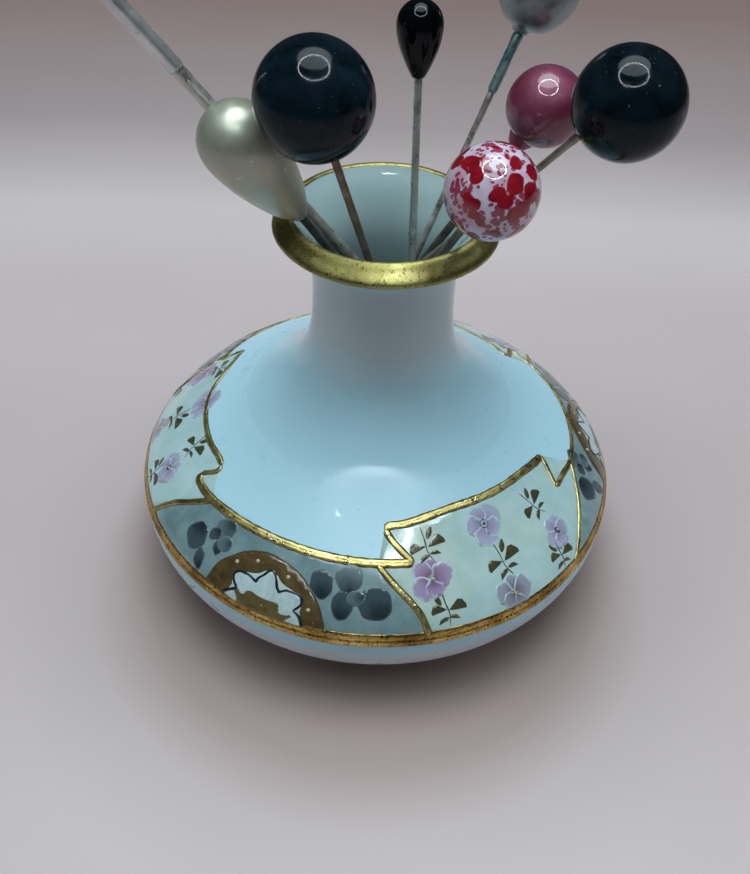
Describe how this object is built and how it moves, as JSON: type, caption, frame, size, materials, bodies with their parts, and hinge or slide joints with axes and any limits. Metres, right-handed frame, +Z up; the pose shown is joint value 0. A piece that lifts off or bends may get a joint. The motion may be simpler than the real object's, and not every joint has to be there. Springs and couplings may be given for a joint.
{
  "type": "hatpin holder",
  "caption": "Squat open-necked porcelain holder with a flared gilt rim, holding loose hatpins with ball and teardrop heads that lift out along their shanks.",
  "frame": {"origin": "centre of the foot ring, on the level the holder stands on", "axes": "+Z up along the vase's axis of revolution; +X to the right and -Y towards the viewer of the object's front"},
  "size_m": [0.0765, 0.076, 0.098],
  "materials": {
    "holder_vase": "glossy white porcelain glaze with painted and gilded border",
    "long_pin_shank": "worn silvery wire",
    "long_pin_sleeve": "bright silvery tube, lightly worn",
    "long_pin_knob": "silver-grey glass",
    "pearl_drop_shank": "darkened steel wire",
    "pearl_drop_head": "cream imitation pearl, small chips",
    "navy_ball_shank": "browned wire",
    "navy_ball_head": "opaque blue-black glass",
    "black_drop_shank": "silvery green wire",
    "black_drop_head": "opaque black glass",
    "silver_drop_shank": "brownish wire",
    "silver_drop_sleeve": "blue-green heat-tinted steel tube",
    "silver_drop_head": "satin grey-silver",
    "magenta_ball_shank": "blackened wire",
    "magenta_ball_collar": "dark pink cup",
    "magenta_ball_head": "pearly magenta",
    "speckled_ball_shank": "darkened wire",
    "speckled_ball_head": "white glass with red speckles",
    "black_ball_shank": "grey-brown wire",
    "black_ball_head": "opaque black glass"
  },
  "bodies": {
    "holder": {"holder_vase": "holder_vase"},
    "long_pin": {"long_pin_shank": "long_pin_shank", "long_pin_sleeve": "long_pin_sleeve", "long_pin_knob": "long_pin_knob"},
    "pearl_drop_pin": {"pearl_drop_shank": "pearl_drop_shank", "pearl_drop_head": "pearl_drop_head"},
    "navy_ball_pin": {"navy_ball_shank": "navy_ball_shank", "navy_ball_head": "navy_ball_head"},
    "black_drop_pin": {"black_drop_shank": "black_drop_shank", "black_drop_head": "black_drop_head"},
    "silver_drop_pin": {"silver_drop_shank": "silver_drop_shank", "silver_drop_sleeve": "silver_drop_sleeve", "silver_drop_head": "silver_drop_head"},
    "magenta_ball_pin": {"magenta_ball_shank": "magenta_ball_shank", "magenta_ball_collar": "magenta_ball_collar", "magenta_ball_head": "magenta_ball_head"},
    "speckled_ball_pin": {"speckled_ball_shank": "speckled_ball_shank", "speckled_ball_head": "speckled_ball_head"},
    "black_ball_pin": {"black_ball_shank": "black_ball_shank", "black_ball_head": "black_ball_head"}
  },
  "joints": [
    {"name": "long_pin_pull", "type": "slide", "parent": "holder", "child": "long_pin", "axis": [-0.5861, -0.1403, 0.798], "range_m": [0, 0.073]},
    {"name": "pearl_drop_pin_pull", "type": "slide", "parent": "holder", "child": "pearl_drop_pin", "axis": [-0.4635, -0.3016, 0.8332], "range_m": [0, 0.072]},
    {"name": "navy_ball_pin_pull", "type": "slide", "parent": "holder", "child": "navy_ball_pin", "axis": [-0.258, -0.2065, 0.9438], "range_m": [0, 0.065]},
    {"name": "black_drop_pin_pull", "type": "slide", "parent": "holder", "child": "black_drop_pin", "axis": [-0.0242, 0.1312, 0.9911], "range_m": [0, 0.062]},
    {"name": "silver_drop_pin_pull", "type": "slide", "parent": "holder", "child": "silver_drop_pin", "axis": [0.3637, 0.27, 0.8915], "range_m": [0, 0.069]},
    {"name": "magenta_ball_pin_pull", "type": "slide", "parent": "holder", "child": "magenta_ball_pin", "axis": [0.5497, 0.1267, 0.8257], "range_m": [0, 0.072]},
    {"name": "speckled_ball_pin_pull", "type": "slide", "parent": "holder", "child": "speckled_ball_pin", "axis": [0.245, -0.5297, 0.8121], "range_m": [0, 0.072]},
    {"name": "black_ball_pin_pull", "type": "slide", "parent": "holder", "child": "black_ball_pin", "axis": [0.6175, -0.1573, 0.7707], "range_m": [0, 0.073]}
  ]
}
